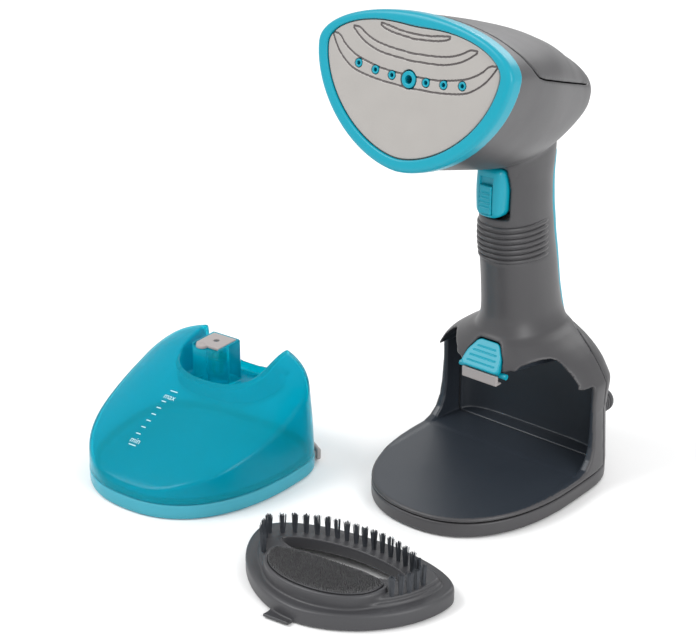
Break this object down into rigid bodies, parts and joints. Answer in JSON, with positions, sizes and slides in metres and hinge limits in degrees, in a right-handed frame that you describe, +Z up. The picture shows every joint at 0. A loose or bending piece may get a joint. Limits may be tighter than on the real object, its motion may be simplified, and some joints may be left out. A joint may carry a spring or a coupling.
{
  "type": "handheld garment steamer",
  "caption": "Handheld garment steamer with a see-through water tank that slides into its stand and a clip-on brush with bristles and a lint pad.",
  "frame": {"origin": "on the floor, under the middle of the stand, at the centre of the pad moulded under it", "axes": "+Z up, -Y towards the steam face and the tank's way out, X across; the steamer is symmetric about X = 0"},
  "size_m": [0.2609, 0.2548, 0.2796],
  "materials": {
    "shell": "fine matt texture",
    "teal": "satin gloss",
    "plate": "satin coated",
    "tank_plastic": "tinted, see-through",
    "grey_plastic": "matt",
    "dark_plastic": "matt",
    "bristle": "nylon tufts",
    "lint_fabric": "directional pile",
    "rubber": "matt",
    "cast_aluminium": "as cast",
    "steel": "bright",
    "brass": "bright",
    "board": "solder resist"
  },
  "bodies": {
    "steamer": {"bezel_ring": "teal", "face_plate": "plate", "nozzle_tray": "teal", "chamber_gasket": "rubber", "steam_chamber": "cast_aluminium", "heating_element": "brass", "thermostat": "cast_aluminium", "thermal_fuse": "rubber", "top_cover": "shell", "main_shell": "shell", "rear_shell": "shell", "handle_strip": "teal", "pump_body": "dark_plastic", "pump_coil": "brass", "inlet_probe": "grey_plastic", "inlet_seal": "rubber", "inlet_hose": "rubber", "outlet_hose": "rubber", "circuit_board": "board", "power_lead": "rubber", "cord_gland": "dark_plastic", "trigger_pin": "steel", "microswitch": "dark_plastic", "switch_bracket": "dark_plastic", "trigger_spring": "steel", "latch_pin": "teal", "latch_spring": "steel", "rubber_foot_1": "rubber", "rubber_foot_2": "rubber", "rubber_foot_3": "rubber", "rubber_foot_4": "rubber", "base_screw_1": "steel", "base_screw_2": "steel", "base_screw_3": "steel", "base_screw_4": "steel"},
    "piston": {"pump_piston": "steel"},
    "trigger": {"steam_trigger": "teal"},
    "lock": {"trigger_lock": "teal"},
    "plunger": {"switch_plunger": "grey_plastic"},
    "latch": {"latch_button": "teal", "latch_hook": "grey_plastic"},
    "tank": {"tank_shell": "tank_plastic", "tank_port_cover": "grey_plastic", "tank_valve_spring": "steel", "tank_tray": "tank_plastic", "tank_seal": "rubber"},
    "valve": {"tank_valve_pin": "brass"},
    "plug": {"tank_filler_plug": "grey_plastic"},
    "brush": {"brush_body": "dark_plastic", "lint_pad": "lint_fabric", "bristle_row_top": "bristle", "bristle_row_right": "bristle", "bristle_row_left": "bristle"}
  },
  "joints": [
    {"name": "trigger_press", "type": "hinge", "parent": "steamer", "child": "trigger", "pos_m": [0, 0.0128, 0.183], "axis": [1, 0, 0], "range_deg": [0, 6], "stiffness_Nm_per_rad": 2, "springref_deg": -2.86},
    {"name": "lock_slide", "type": "slide", "parent": "trigger", "child": "lock", "axis": [0, 0, 1], "range_m": [0, 0.0038]},
    {"name": "plunger_travel", "type": "slide", "parent": "steamer", "child": "plunger", "axis": [0, 1, 0], "range_m": [0, 0.0011]},
    {"name": "latch_press", "type": "hinge", "parent": "steamer", "child": "latch", "pos_m": [0, 0.0053, 0.0692], "axis": [-1, 0, 0], "range_deg": [0, 5], "stiffness_Nm_per_rad": 1.5, "springref_deg": -2.86},
    {"name": "piston_stroke", "type": "slide", "parent": "steamer", "child": "piston", "axis": [0, 0, 1], "range_m": [0, 0.002], "stiffness_N_per_m": 600},
    {"name": "tank_lift", "type": "slide", "parent": "steamer", "child": "tank", "axis": [0, 0, 1], "range_m": [0, 0.12]},
    {"name": "valve_press", "type": "slide", "parent": "tank", "child": "valve", "axis": [0, 0, -1], "range_m": [0, 0.003], "stiffness_N_per_m": 400, "springref_m": -0.001, "deforming": ["tank_valve_spring"]},
    {"name": "plug_pull", "type": "slide", "parent": "tank", "child": "plug", "axis": [0.4665, 0.8845, 0], "range_m": [0, 0.014]},
    {"name": "brush_lift", "type": "slide", "parent": "steamer", "child": "brush", "axis": [0, 0, 1], "range_m": [0, 0.1]}
  ],
  "couplings": [
    {"joint": "plunger_travel", "follows": "trigger_press", "m_per_rad": 0.01}
  ]
}
